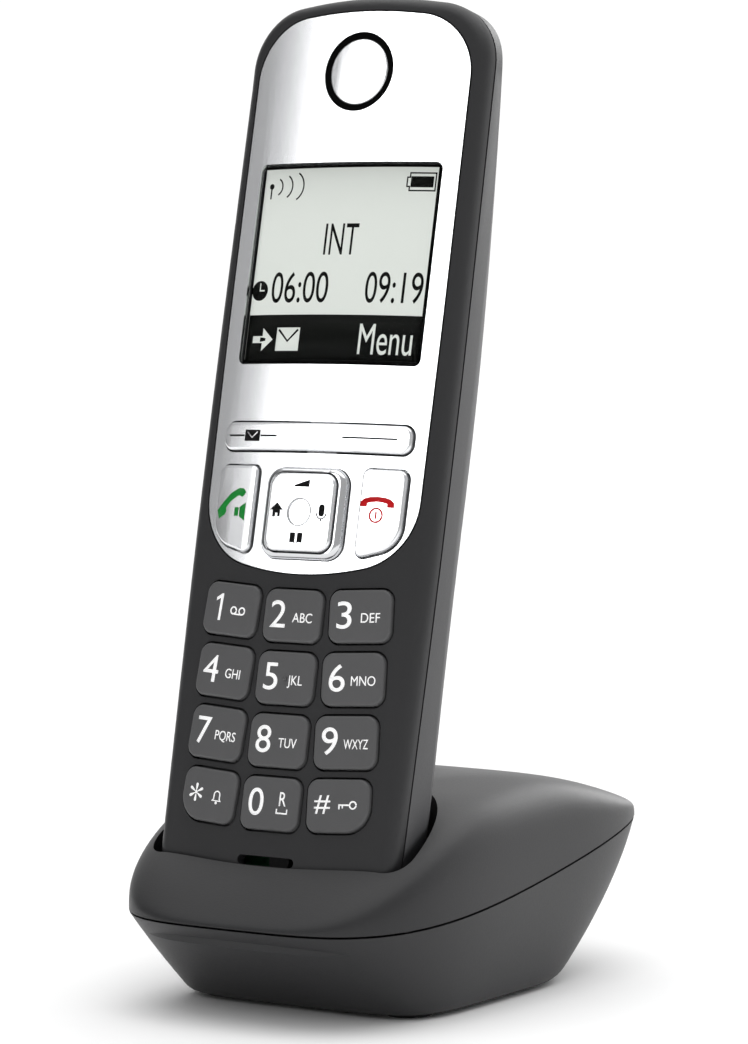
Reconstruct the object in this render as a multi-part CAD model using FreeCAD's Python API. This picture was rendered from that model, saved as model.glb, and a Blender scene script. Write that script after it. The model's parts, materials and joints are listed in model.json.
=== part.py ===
import FreeCAD
import Part
import math
import os

# Cordless phone handset standing in its charging base.  Millimetres, Z up, front faces -Y.
# Handset pieces are drawn in the handset's own frame (x right, y depth going back,
# z along its length from the bottom end) and then leaned back into the base.

# ---- overall sizes
HANDSET_LENGTH = 155.0
HANDSET_HALF_WIDTH = 24.75
HANDSET_FOOT_HALF_WIDTH = 23.6
BACK_DEPTH = 20.0
SHELL_SPLIT = 5.0
LEAN_DEG = 12.2
SEAT_Y = -39.48
SEAT_Z = 20.12
BASE_HALF_WIDTH = 31.74
BASE_HALF_LENGTH = 49.25
BASE_FRONT_SPLIT_Z = 16.2
BASE_SPLIT_RISE = 15.0
FOOT_HALF_WIDTH = 26.07
FOOT_HALF_LENGTH = 26.03
FOOT_CENTRE_Y = -4.4
FOOT_LIFT = 0.6

# ---- walls, clearances and fits
CROWN_RADIUS = 140.0
HANDSET_WALL = 2.0
BASE_WALL = 2.0
SHUT_GAP = 0.4
PART_GAP = 0.3
KEY_GAP = 0.35
KEY_PROUD = 0.7
CALL_PROUD = 0.9
SOFT_PROUD = 0.8
KEY_BACK = 4.4
PLATE_THICK = 1.0
BOARD_FRONT = 6.6
BOARD_BACK = 7.8
POCKET_SIDE_GAP = 1.9
POCKET_FRONT_GAP = 0.8
POCKET_FLOOR_Z = -1.6
POCKET_WALL = 1.4

# ---- key field
KEY_WIDTH = 11.6
KEY_HEIGHT = 8.95
KEY_PITCH_X = 13.0
KEY_PITCH_Z = 10.57
KEY_TOP_ROW_Z = 47.6
KEY_OUTER_RISE = 0.6
KEY_OUTER_TURN = 3.9

# ---- control field on the faceplate
PLATE_HALF_WIDTH = 21.6
NAV_Z = 65.0
NAV_WIDTH = 16.2
NAV_HEIGHT = 15.6
PAD_WIDTH = 13.2
PAD_HEIGHT = 13.35
PAD_PROUD = 2.2
RIM_PROUD = 1.5
SOFT_HALF_LENGTH = 18.95
SOFT_BOTTOM = 75.7
SOFT_TOP = 80.5
WINDOW_HALF_WIDTH = 18.4
WINDOW_BOTTOM = 90.8
WINDOW_TOP = 125.7
EAR_Z = HANDSET_LENGTH - 13.4
EAR_RING_RADIUS = 6.8
EAR_CAP_RADIUS = 5.75

# ---- power and electronics
CELL_RADIUS = 5.1
CELL_LENGTH = 44.0
CELL_X = 5.5
CELL_Y = 14.2
CELL_BOTTOM = 50.0
COVER_HALF_WIDTH = 17.0
COVER_BOTTOM = 34.0
COVER_TOP = 112.0
PIN_X = 11.0
PIN_Y = 10.8
BASE_BOARD_Z = 5.0
BASE_BOARD_THICK = 1.4
PANEL_Y = 24.0
PANEL_THICK = 1.6
BOSS_JOIN_Z = 10.0
BASE_SCREWS = ((-9.0, -20.5), (9.0, -20.5), (-17.0, 3.0), (17.0, 3.0))
HANDSET_SCREWS = ((-13.5, 85.5), (13.5, 85.5), (-13.0, 7.4), (13.0, 7.4))
FOOT_PADS = ((-18.5, -22.5), (18.5, -22.5), (-18.5, 13.5), (18.5, 13.5))


def vec(x, y, z):
    return FreeCAD.Vector(x, y, z)


def box(x0, x1, y0, y1, z0, z1):
    return Part.makeBox(x1 - x0, y1 - y0, z1 - z0, vec(x0, y0, z0))


def along_y(x, z, radius, y0, y1):
    return Part.makeCylinder(radius, y1 - y0, vec(x, y0, z), vec(0, 1, 0))


def along_z(x, y, radius, z0, z1):
    return Part.makeCylinder(radius, z1 - z0, vec(x, y, z0), vec(0, 0, 1))


def fuse_all(shapes):
    joined = shapes[0]
    for piece in shapes[1:]:
        joined = joined.fuse(piece)
    return joined.removeSplitter()


def cut_all(shape, tools):
    for tool in tools:
        shape = shape.cut(tool)
    return shape


def seat(shape):
    """Leans a handset-frame shape back and drops it into the base."""
    placed = shape.copy()
    turn = FreeCAD.Rotation(vec(1, 0, 0), -LEAN_DEG)
    placed.Placement = FreeCAD.Placement(vec(0, SEAT_Y, SEAT_Z), turn).multiply(shape.Placement)
    return placed


def export(node, shape):
    shape.exportStep("parts/" + node + ".step")


# ------------------------------------------------------------------ outlines
def corner_frame(corners, index):
    """Corner point, unit bisector, half angle and radius of one outline corner."""
    px, pz = corners[index - 1][:2]
    cx, cz, radius = corners[index]
    nx, nz = corners[(index + 1) % len(corners)][:2]
    back = math.hypot(px - cx, pz - cz)
    ahead = math.hypot(nx - cx, nz - cz)
    ux, uz = (px - cx) / back, (pz - cz) / back
    wx, wz = (nx - cx) / ahead, (nz - cz) / ahead
    half = math.acos(ux * wx + uz * wz) / 2
    length = math.hypot(ux + wx, uz + wz)
    return (ux, uz), (wx, wz), ((ux + wx) / length, (uz + wz) / length), half, radius


def inset(corners, distance):
    """Outline moved inwards by distance; a negative distance grows it."""
    moved = []
    for index in range(len(corners)):
        bisector, half, radius = corner_frame(corners, index)[2:]
        reach = distance / math.sin(half)
        x = corners[index][0] + bisector[0] * reach
        z = corners[index][1] + bisector[1] * reach
        moved.append((x, z, max(radius - distance, 0.2)))
    return moved


def outline_wire(corners, y):
    """Closed wire of straight runs and tangent corner arcs at depth y."""
    arcs = []
    for index in range(len(corners)):
        to_last, to_next, bisector, half, radius = corner_frame(corners, index)
        cx, cz = corners[index][:2]
        reach = radius / math.tan(half)
        depth = radius / math.sin(half) - radius
        start = vec(cx + to_last[0] * reach, y, cz + to_last[1] * reach)
        middle = vec(cx + bisector[0] * depth, y, cz + bisector[1] * depth)
        end = vec(cx + to_next[0] * reach, y, cz + to_next[1] * reach)
        arcs.append((start, middle, end))
    edges = []
    for index in range(len(arcs)):
        start, middle, end = arcs[index]
        following = arcs[(index + 1) % len(arcs)][0]
        edges.append(Part.Arc(start, middle, end).toShape())
        if end.distanceToPoint(following) > 1e-5:
            edges.append(Part.LineSegment(end, following).toShape())
    return Part.Wire(edges)


def prism(corners, y0, y1):
    """Outline pushed straight back from depth y0 to depth y1."""
    return Part.Face(outline_wire(corners, y0)).extrude(vec(0, y1 - y0, 0))


def rectangle(cx, cz, width, height, radius, turn_deg=0.0):
    """Corners of a rounded rectangle in the face plane."""
    turn = math.radians(turn_deg)
    corners = []
    for sx, sz in ((-1, -1), (1, -1), (1, 1), (-1, 1)):
        dx, dz = sx * width / 2, sz * height / 2
        x = cx + dx * math.cos(turn) - dz * math.sin(turn)
        z = cz + dx * math.sin(turn) + dz * math.cos(turn)
        corners.append((x, z, radius))
    return corners


def mirrored(corners):
    return [(-x, z, radius) for x, z, radius in reversed(corners)]


def handset_outline():
    half, foot, top = HANDSET_HALF_WIDTH, HANDSET_FOOT_HALF_WIDTH, HANDSET_LENGTH
    right = [(foot, 0.0, 8.0), (half, 0.465 * top, 2500.0), (half - 0.75, top - 2.1, 11.0)]
    return right + [(0.0, top + 0.65, 100.0)] + mirrored(right)


def plate_outline():
    half, top = PLATE_HALF_WIDTH, HANDSET_LENGTH
    right = [(half - 0.3, 58.2, 12.0), (half, 100.0, 800.0), (half - 0.1, top - 4.5, 11.0)]
    return [(0.0, 53.66, 51.0)] + right + [(0.0, top - 2.44, 100.0)] + mirrored(right)


def call_key_outline():
    return [(10.6, 57.7, 1.4), (18.9, 60.0, 5.0), (18.95, 73.0, 1.6), (10.6, 73.0, 1.3)]


# ------------------------------------------------------------- handset forms
def crown(depth):
    """Everything behind the crowned front face, that face moved back by depth."""
    radius = CROWN_RADIUS - depth
    return Part.makeCylinder(radius, 400.0, vec(0, CROWN_RADIUS, -100), vec(0, 0, 1))


def front_form(distance, y_end):
    """Front half of the handset, inset by distance and ending at depth y_end."""
    return prism(inset(handset_outline(), distance), -2.0, y_end).common(crown(distance))


def back_sections():
    """Height and depth behind the shut line of the handset's back."""
    top, deep = HANDSET_LENGTH, BACK_DEPTH
    return ((-4.0, 0.78 * deep), (4.0, 0.93 * deep), (14.0, deep), (0.42 * top, deep),
            (0.65 * top, 0.96 * deep), (0.79 * top, 0.78 * deep), (0.9 * top, 0.52 * deep),
            (0.97 * top, 0.28 * deep), (1.03 * top, 0.08 * deep))


def rear_arc(z, half_width, y, depth):
    """Half ellipse behind depth y, whichever of its axes is the longer."""
    centre = vec(0, y, z)
    if half_width >= depth:
        return Part.Ellipse(centre, half_width, depth).toShape(0.0, math.pi)
    upright = Part.Ellipse(vec(0, y + depth, z), vec(-half_width, y, z), centre)
    return upright.toShape(-math.pi / 2, math.pi / 2)


def half_ellipse(z, half_width, y, depth):
    arc = rear_arc(z, half_width, y, depth)
    line = Part.LineSegment(vec(-half_width, y, z), vec(half_width, y, z)).toShape()
    return Part.Wire([arc, line])


def back_form(distance):
    """Domed back of the handset behind the shut line, inset by distance."""
    wires = []
    for z, depth in back_sections():
        reach = max(depth - distance, 0.25)
        wires.append(half_ellipse(z, HANDSET_HALF_WIDTH + 0.3 - distance, SHELL_SPLIT, reach))
    dome = Part.makeLoft(wires, True, False)
    return dome.common(prism(inset(handset_outline(), distance), SHELL_SPLIT, 60.0))


def through_cut(corners, gap):
    """Opening through the front of the handset for a piece with this outline."""
    return prism(inset(corners, -gap), -3.0, 4.8)


def key_places():
    """Name, centre and turn of the twelve number keys, row by row."""
    names = ("key_1", "key_2", "key_3", "key_4", "key_5", "key_6",
             "key_7", "key_8", "key_9", "key_star", "key_0", "key_hash")
    places = []
    for index, name in enumerate(names):
        column = index % 3 - 1
        z = KEY_TOP_ROW_Z - KEY_PITCH_Z * (index // 3) + KEY_OUTER_RISE * abs(column)
        places.append((name, column * KEY_PITCH_X, z, KEY_OUTER_TURN * column))
    return places


def key_outline(name, x, z, turn):
    corners = rectangle(x, z, KEY_WIDTH, KEY_HEIGHT, 2.0, turn)
    if name == "key_star":
        corners[0] = corners[0][:2] + (4.4,)
    if name == "key_hash":
        corners[1] = corners[1][:2] + (4.4,)
    return corners


def soft_outline():
    middle = (SOFT_BOTTOM + SOFT_TOP) / 2
    return rectangle(0.0, middle, 2 * SOFT_HALF_LENGTH, SOFT_TOP - SOFT_BOTTOM, 1.8)


def nav_outline():
    return rectangle(0.0, NAV_Z, NAV_WIDTH, NAV_HEIGHT, 3.0)


def pad_outline():
    return rectangle(0.0, NAV_Z, PAD_WIDTH, PAD_HEIGHT, 2.2)


def window_outline():
    middle = (WINDOW_BOTTOM + WINDOW_TOP) / 2
    return rectangle(0.0, middle, 2 * WINDOW_HALF_WIDTH, WINDOW_TOP - WINDOW_BOTTOM, 1.2)


def mic_outline():
    return rectangle(0.0, 6.3, 11.3, 1.6, 0.78)


def key_cap(corners, proud, flange):
    """Cap standing proud of the crowned face with a hidden flange behind the shell."""
    cap = prism(corners, -4.0, KEY_BACK).common(crown(-proud))
    rim = [edge for edge in cap.Edges if edge.BoundBox.YMax < 3.0]
    cap = cap.makeFillet(0.5, rim)
    skirt = prism(inset(corners, -flange), 0.0, KEY_BACK).common(crown(HANDSET_WALL + PART_GAP))
    return cap.fuse(skirt).removeSplitter()


# ------------------------------------------------------------ handset shells
def make_front_shell():
    body = front_form(0.0, SHELL_SPLIT)
    rim = [edge for edge in body.Edges if edge.BoundBox.YMax < SHELL_SPLIT - 0.5]
    body = body.makeFillet(2.6, rim)
    body = body.cut(front_form(HANDSET_WALL, SHELL_SPLIT + 1.0))
    bosses = [along_y(x, z, 2.2, 2.4, BOARD_FRONT) for x, z in HANDSET_SCREWS]
    body = fuse_all([body] + bosses)
    recess = prism(inset(plate_outline(), -PART_GAP), -3.0, 6.0)
    recess = recess.cut(crown(PLATE_THICK + PART_GAP))
    tools = [recess]
    for name, x, z, turn in key_places():
        tools.append(through_cut(key_outline(name, x, z, turn), KEY_GAP))
    tools.append(through_cut(call_key_outline(), KEY_GAP))
    tools.append(through_cut(mirrored(call_key_outline()), KEY_GAP))
    tools.append(through_cut(soft_outline(), KEY_GAP))
    tools.append(through_cut(pad_outline(), KEY_GAP))
    tools.append(through_cut(window_outline(), -0.8))
    tools.append(box(-19.2, 19.2, 2.6, 6.0, WINDOW_BOTTOM - 1.3, WINDOW_TOP + 1.3))
    tools.append(along_y(0.0, EAR_Z, EAR_CAP_RADIUS - 1.5, -3.0, 4.8))
    tools.append(through_cut(mic_outline(), 0.0))
    tools += [along_y(x, z, 1.1, 3.6, BOARD_FRONT + 0.1) for x, z in HANDSET_SCREWS]
    return cut_all(body, tools)


def make_back_shell():
    outer = back_form(0.0).cut(box(-40, 40, 0, SHELL_SPLIT + SHUT_GAP, -10, 400))
    shell = outer.cut(back_form(HANDSET_WALL))
    deep = HANDSET_WALL - 0.3
    tongue = prism(inset(handset_outline(), deep), SHELL_SPLIT + SHUT_GAP, 7.0)
    front = HANDSET_HALF_WIDTH ** 2 / (2 * CROWN_RADIUS) + HANDSET_WALL
    tongue = tongue.fuse(prism(inset(handset_outline(), HANDSET_WALL + PART_GAP), front, 7.0))
    tongue = tongue.cut(prism(inset(handset_outline(), HANDSET_WALL + 1.1), 3.0, 8.0))
    bay = box(-18.2, 18.2, BOARD_BACK + 0.3, 40, COVER_BOTTOM - 1.8, COVER_TOP + 1.8)
    bay = bay.cut(box(-15.6, 15.6, BOARD_BACK + 1.3, 41, COVER_BOTTOM + 1.8, COVER_TOP - 1.8))
    posts = [along_y(x, z, 2.6, BOARD_BACK + 0.3, 12.0) for x, z in HANDSET_SCREWS[:2]]
    posts += [along_y(x, z, 3.4, BOARD_BACK + 0.3, 40.0) for x, z in HANDSET_SCREWS[2:]]
    inner = fuse_all([bay] + posts).common(back_form(HANDSET_WALL - 0.4))
    shell = fuse_all([shell, tongue, inner])
    opening = prism(cover_outline(-0.15), 6.0, 60.0).cut(back_form(HANDSET_WALL + PART_GAP))
    tools = [opening]
    tools += [along_y(x, z, 1.1, 4.0, 30.0) for x, z in HANDSET_SCREWS]
    tools += [along_y(x, z, 2.4, 11.0, 40.0) for x, z in HANDSET_SCREWS[2:]]
    for side in (-1, 1):
        x = side * PIN_X
        tools.append(box(x - 2.2, x + 2.2, PIN_Y - 2.0, PIN_Y + 2.0, -5.0, 4.0))
    return cut_all(shell, tools)


def cover_outline(distance):
    middle = (COVER_BOTTOM + COVER_TOP) / 2
    corners = rectangle(0.0, middle, 2 * COVER_HALF_WIDTH, COVER_TOP - COVER_BOTTOM, 5.0)
    return inset(corners, distance)


def make_battery_cover():
    skin = back_form(0.0).cut(back_form(HANDSET_WALL - 0.2))
    cover = skin.common(prism(cover_outline(0.15), 6.0, 60.0))
    low = COVER_BOTTOM + 7.0
    grips = [box(-6.0, 6.0, SHELL_SPLIT + BACK_DEPTH - 0.6, 60.0, low + 2.4 * i, low + 2.4 * i + 0.9)
             for i in range(4)]
    return cut_all(cover, grips)


def make_face_plate():
    plate = prism(plate_outline(), -3.0, 6.0).common(crown(0.0)).cut(crown(PLATE_THICK))
    tools = [through_cut(soft_outline(), KEY_GAP), through_cut(window_outline(), 0.1)]
    tools.append(through_cut(nav_outline(), 0.15))
    tools.append(through_cut(call_key_outline(), KEY_GAP))
    tools.append(through_cut(mirrored(call_key_outline()), KEY_GAP))
    tools.append(along_y(0.0, EAR_Z, EAR_RING_RADIUS + 0.15, -3.0, 6.0))
    return cut_all(plate, tools)


# ------------------------------------------------------ faceplate components
def make_display_window():
    return prism(window_outline(), -3.0, 6.0).common(crown(0.0)).cut(crown(PLATE_THICK))


def make_display_mask():
    mask = prism(inset(window_outline(), 1.1), 2.5, 2.9)
    return mask.cut(prism(inset(window_outline(), 2.2), 2.0, 3.0))


def make_lcd_module():
    return box(-18.9, 18.9, 2.9, 5.9, WINDOW_BOTTOM - 1.0, WINDOW_TOP + 1.0)


def make_earpiece_ring():
    ring = along_y(0.0, EAR_Z, EAR_RING_RADIUS, -1.0, 1.2).common(crown(0.2))
    return ring.cut(along_y(0.0, EAR_Z, EAR_CAP_RADIUS + 0.15, -2.0, 6.0))


def make_earpiece_cap():
    cap = along_y(0.0, EAR_Z, EAR_CAP_RADIUS, -2.0, 1.2).common(crown(0.0))
    rim = [edge for edge in cap.Edges if edge.BoundBox.YMax < 0.5 and edge.Length > 20]
    return cap.makeFillet(0.3, rim)


def make_nav_rim():
    rim = prism(nav_outline(), -3.0, 2.6).common(crown(-RIM_PROUD))
    outer = [edge for edge in rim.Edges if edge.BoundBox.YMax < 0.5]
    rim = rim.makeFillet(1.2, outer)
    return rim.cut(crown(PLATE_THICK)).cut(through_cut(pad_outline(), PART_GAP))


def make_nav_pad():
    pad = prism(pad_outline(), -4.0, KEY_BACK).common(crown(-PAD_PROUD))
    rim = [edge for edge in pad.Edges if edge.BoundBox.YMax < 2.5]
    pad = pad.makeFillet(0.5, rim)
    return pad.cut(along_y(0.0, NAV_Z, 2.3, -4.0, 0.2 - PAD_PROUD))


def make_nav_gimbal():
    ring = along_y(0.0, NAV_Z, 3.6, KEY_BACK + 0.3, BOARD_FRONT - 1.0)
    return ring.cut(along_y(0.0, NAV_Z, 1.8, KEY_BACK, BOARD_FRONT))


def make_soft_key_bar():
    bar = prism(soft_outline(), -3.0, 3.2).common(crown(-SOFT_PROUD))
    rim = [edge for edge in bar.Edges if edge.BoundBox.YMax < 2.8]
    bar = bar.makeFillet(0.5, rim)
    middle = (SOFT_BOTTOM + SOFT_TOP) / 2
    return bar.fuse(box(-3.0, 3.0, 2.6, KEY_BACK, middle - 3.2, middle + 3.2)).removeSplitter()


# -------------------------------------------------------- handset internals
def make_key_mat():
    mat = prism(rectangle(0.0, 45.9, 40.4, 73.2, 3.0), KEY_BACK + 0.9, BOARD_FRONT - 0.2)
    hollow = prism(rectangle(0.0, 45.9, 38.4, 71.2, 2.0), KEY_BACK + 1.4, BOARD_FRONT)
    mat = mat.cut(hollow)
    tools = [along_y(0.0, NAV_Z, 4.2, 3.0, BOARD_FRONT)]
    return cut_all(mat, tools + [along_y(x, z, 2.7, 3.0, 8.0) for x, z in HANDSET_SCREWS[2:]])


def make_dome_sheet():
    sheet = box(-19.9, 19.9, BOARD_FRONT - 0.2, BOARD_FRONT, 9.3, 82.5)
    places = [(x, z) for name, x, z, turn in key_places()] + [(-14.8, 66.0), (14.8, 66.0)]
    places += [(0.0, NAV_Z), (-5.0, NAV_Z), (5.0, NAV_Z), (0.0, NAV_Z - 5.0), (0.0, NAV_Z + 5.0)]
    places += [(-12.0, 78.1), (12.0, 78.1)]
    domes = [along_y(x, z, 1.6, BOARD_FRONT - 0.6, BOARD_FRONT - 0.1) for x, z in places]
    sheet = fuse_all([sheet] + domes)
    return cut_all(sheet, [along_y(x, z, 2.7, 3.0, 8.0) for x, z in HANDSET_SCREWS[2:]])


def make_handset_board():
    board = prism(inset(handset_outline(), 3.5), BOARD_FRONT, BOARD_BACK)
    board = board.common(box(-40, 40, 0, 20, 0, HANDSET_LENGTH - 13.0))
    return cut_all(board, [along_y(x, z, 1.2, 3.0, 9.0) for x, z in HANDSET_SCREWS])


def make_earpiece_speaker():
    frame = along_y(0.0, EAR_Z, 7.6, 3.4, 6.3)
    return frame.cut(along_y(0.0, EAR_Z, 6.4, 3.0, 4.2))


def make_microphone():
    return along_y(0.0, 6.7, 2.0, 4.2, BOARD_FRONT)


def make_ringer_speaker():
    body = along_y(0.0, 19.5, 9.0, BOARD_BACK, 12.0)
    return body.fuse(along_y(0.0, 19.5, 5.0, 12.0, 13.2)).removeSplitter()


def make_handset_antenna():
    z = HANDSET_LENGTH - 19.0
    bar = box(-13.0, 13.0, BOARD_BACK, BOARD_BACK + 0.8, z, z + 3.0)
    legs = [box(x, x + 2.0, BOARD_BACK, BOARD_BACK + 0.8, z - 5.0, z) for x in (-13.0, 3.0)]
    return fuse_all([bar] + legs)


def make_shield_can():
    can = box(-12.0, 12.0, BOARD_BACK, BOARD_BACK + 2.6, 115.5, 129.0)
    return can.makeFillet(0.6, [edge for edge in can.Edges if edge.BoundBox.YMin > BOARD_BACK + 1])


def make_battery_cell(side):
    x = side * CELL_X
    top = CELL_BOTTOM + CELL_LENGTH
    body = along_z(x, CELL_Y, CELL_RADIUS, CELL_BOTTOM, top - 1.0)
    rim = [edge for edge in body.Edges if edge.Length > 25 and edge.BoundBox.ZLength < 0.1]
    body = body.makeFillet(0.6, rim)
    return body.fuse(along_z(x, CELL_Y, 1.9, top - 1.2, top)).removeSplitter()


def make_battery_contacts():
    high = CELL_BOTTOM + CELL_LENGTH
    plates = []
    for x in (-CELL_X, CELL_X):
        plates.append(box(x - 4.0, x + 4.0, BOARD_BACK + 1.3, 18.0, high + 0.1, high + 0.5))
        plates.append(box(x - 4.0, x + 4.0, BOARD_BACK + 1.3, 18.0, 49.5, CELL_BOTTOM - 0.1))
    return Part.makeCompound(plates)


def make_charge_pads():
    pads = []
    for side in (-1, 1):
        x = side * PIN_X
        pads.append(box(x - 2.0, x + 2.0, PIN_Y - 1.8, PIN_Y + 1.8, 0.3, 3.6))
    return Part.makeCompound(pads)


def make_handset_screws():
    screws = []
    for index, (x, z) in enumerate(HANDSET_SCREWS):
        under = 12.0 if index < 2 else 11.0
        head = along_y(x, z, 1.9, under, under + 1.4)
        shank = along_y(x, z, 0.9, 3.9, under + 0.2)
        slot = box(x - 1.2, x + 1.2, under + 0.9, under + 2.0, z - 0.25, z + 0.25)
        screws.append(head.fuse(shank).removeSplitter().cut(slot))
    return Part.makeCompound(screws)


# ----------------------------------------------------------------- base forms
def superellipse(angle, half_width, half_length, power):
    cosine, sine = math.cos(angle), math.sin(angle)
    x = half_width * math.copysign(abs(cosine) ** (2.0 / power), cosine)
    y = half_length * math.copysign(abs(sine) ** (2.0 / power), sine)
    return x, y


def ring_angles():
    """Even steps of the outline's parameter, which crowd together at the ends of its sides."""
    count = 56
    return [2 * math.pi * (index + 0.5) / count for index in range(count)]


def split_height(y):
    """Height of the base's shut line, rising to the rear and levelling off."""
    along = min(max((y + BASE_HALF_LENGTH) / (2 * BASE_HALF_LENGTH), 0.0), 1.0)
    return BASE_FRONT_SPLIT_Z + BASE_SPLIT_RISE * along ** 1.64 * (1 - 0.3 * along ** 8)


def top_height(x, y):
    """Crowned top of the base before its edge rounding."""
    run = (y + 4.45) / 50.0
    tail = 5.0 * max(run - 0.55, 0.0) ** 2
    return 38.1 + 3.5 * run - 17.5 * run ** 2 + 4.9 * run ** 3 + tail - 0.0005 * x * x


def ring_solid(rings):
    """Closed solid whose smooth skin follows level or wavy rings; a ring given 3 times is a crease."""
    around, up = len(rings[0]), len(rings)
    poles = [[ring[index] for ring in rings] for index in range(around)]
    around_knots = [float(index) for index in range(around + 1)]
    up_knots = [float(index) for index in range(up - 2)]
    up_mults = [4] + [1] * (up - 4) + [4]
    skin = Part.BSplineSurface()
    skin.buildFromPolesMultsKnots(poles, [1] * (around + 1), up_mults, around_knots, up_knots,
                                  True, False, 3, 3)
    side = skin.toShape()
    ends = [edge for edge in side.Edges if edge.BoundBox.ZLength < 1e-6 and edge.isClosed()]
    caps = [Part.Face(Part.Wire([edge])) for edge in ends]
    shell = Part.Shell([side] + caps)
    shell.sewShape()
    solid = Part.Solid(shell)
    solid.fix(1e-5, 1e-5, 1e-4)
    if solid.Volume < 0:
        solid.reverse()
    return solid


def bowl_ring(distance, height_share, flat_z=None):
    """One level ring of the flared lower bowl, between its foot and the shut line."""
    points = []
    for angle in ring_angles():
        fx, fy = superellipse(angle, FOOT_HALF_WIDTH - distance, FOOT_HALF_LENGTH - distance, 5.3)
        fy += FOOT_CENTRE_Y
        sx, sy = superellipse(angle, BASE_HALF_WIDTH - distance, BASE_HALF_LENGTH - distance, 3.67)
        rise = split_height(sy) - FOOT_LIFT
        share = height_share if flat_z is None else (flat_z - FOOT_LIFT) / rise
        bulge = 0.32 + 0.22 * sy / BASE_HALF_LENGTH
        out = share + bulge * share * (1 - share)
        points.append(vec(fx + (sx - fx) * out, fy + (sy - fy) * out, FOOT_LIFT + rise * share))
    return points


def bowl_form(distance):
    """Flared bowl from the foot upwards, its bottom edge softly rounded."""
    rings = [bowl_ring(distance + 2.0, 0.0, FOOT_LIFT), bowl_ring(distance, 0.0, FOOT_LIFT)]
    rings += [bowl_ring(distance, share) for share in (0.12, 0.3, 0.5, 0.7, 0.85, 1.0, 1.15)]
    level = max(point.z for point in rings[-1]) + 2.0
    rings.append([vec(point.x, point.y, level) for point in rings[-1]])
    return ring_solid(rings)


def dome_ring(distance, steep_deg):
    """One ring of the dome; 90 degrees is the shut line, small angles near the top."""
    steep = math.radians(steep_deg)
    spread = math.sin(steep) ** 0.256
    lift = math.cos(steep) ** 0.424 if steep_deg < 90 else 0.0
    centre_y = -21.5
    points = []
    for angle in ring_angles():
        sx, sy = superellipse(angle, BASE_HALF_WIDTH - distance, BASE_HALF_LENGTH - distance, 3.67)
        x = sx * spread
        y = centre_y + (sy - centre_y) * spread
        low = split_height(sy)
        points.append(vec(x, y, low + (top_height(x, y) - distance - low) * lift))
    return points


def dome_form(distance):
    split = dome_ring(distance, 90)
    skirt = [[vec(point.x, point.y, z) for point in split] for z in (2.0, 8.0)]
    rings = skirt + [split, split, split]
    for steep in (89, 86, 81, 75, 68, 60, 50, 39, 28, 18, 10, 5, 2, 0.5):
        rings.append(dome_ring(distance, steep))
    closing = dome_ring(distance, 0.02)
    level = sum(point.z for point in closing) / len(closing)
    rings.append([vec(point.x, point.y, level) for point in closing])
    return ring_solid(rings)


def rim_prism(distance):
    """Upright prism whose outline is the base's shut line, inset by distance."""
    points = [vec(point.x, point.y, 8.0) for point in dome_ring(distance, 90)]
    curve = Part.BSplineCurve()
    curve.buildFromPoles(points, True, 3)
    return Part.Face(Part.Wire([curve.toShape()])).extrude(vec(0, 0, 32))


def above_split(offset):
    """Everything above the shut surface raised by offset."""
    points = []
    reach = BASE_HALF_LENGTH + 30
    for index in range(41):
        y = reach * (index / 20.0 - 1)
        points.append(vec(-60, y, split_height(y) + offset))
    curve = Part.BSplineCurve()
    curve.interpolate(points)
    high_front = vec(-60, points[0].y, 90)
    high_rear = vec(-60, points[-1].y, 90)
    edges = [curve.toShape()]
    edges.append(Part.LineSegment(points[-1], high_rear).toShape())
    edges.append(Part.LineSegment(high_rear, high_front).toShape())
    edges.append(Part.LineSegment(high_front, points[0]).toShape())
    return Part.Face(Part.Wire(edges)).extrude(vec(120, 0, 0))


def pocket_section(z, grow):
    """Handset-shaped section of the pocket, with a wider gap at the sides than in front."""
    half = HANDSET_FOOT_HALF_WIDTH + POCKET_SIDE_GAP + 0.4 + grow
    front = -POCKET_FRONT_GAP - grow
    corner = 4.0
    sag = half * half / (2 * CROWN_RADIUS)
    side_y = front + sag + corner
    rear = SHELL_SPLIT + BACK_DEPTH + POCKET_SIDE_GAP + grow - side_y
    right = vec(half - corner, front + sag * 0.72, z)
    end = vec(half, side_y, z)
    bend = vec(half - 0.3 * corner, front + sag * 0.86 + 0.27 * corner, z)
    edges = [Part.Arc(right, bend, end).toShape()]
    edges.append(rear_arc(z, half, side_y, rear))
    left = vec(-right.x, right.y, z)
    edges.append(Part.Arc(vec(-half, side_y, z), vec(-bend.x, bend.y, z), left).toShape())
    edges.append(Part.Arc(left, vec(0, front, z), right).toShape())
    return Part.Wire(edges)


def pocket_form(grow, z0, z1):
    return seat(Part.Face(pocket_section(z0, grow)).extrude(vec(0, 0, z1 - z0)))


# ---------------------------------------------------------------- base shells
def make_base_top():
    outer = dome_form(0.0)
    shell = outer.cut(dome_form(BASE_WALL)).common(above_split(SHUT_GAP / 2))
    tub = pocket_form(POCKET_WALL, POCKET_FLOOR_Z - POCKET_WALL, 60.0)
    bosses = [along_z(x, y, 2.6, BOSS_JOIN_Z, 60.0) for x, y in BASE_SCREWS]
    inner = fuse_all([tub] + bosses).common(dome_form(0.5))
    body = fuse_all([shell, inner])
    body = body.cut(pocket_form(0.0, POCKET_FLOOR_Z, 90.0))
    ribs = []
    for side in (-1, 1):
        ribs.append(seat(box(side * 5.0 - 1, side * 5.0 + 1, 2.5, 9.5, POCKET_FLOOR_Z - 0.3, -0.15)))
    body = fuse_all([body] + ribs)
    tools = [along_z(x, y, 1.1, 5.0, BOSS_JOIN_Z + 6.0) for x, y in BASE_SCREWS[2:]]
    tools += [along_z(x, y, 1.1, 5.0, BOSS_JOIN_Z + 1.6) for x, y in BASE_SCREWS[:2]]
    for side in (-1, 1):
        tools.append(seat(along_z(side * PIN_X, PIN_Y, 1.5, -8.0, 2.0)))
    return cut_all(body, tools)


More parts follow.
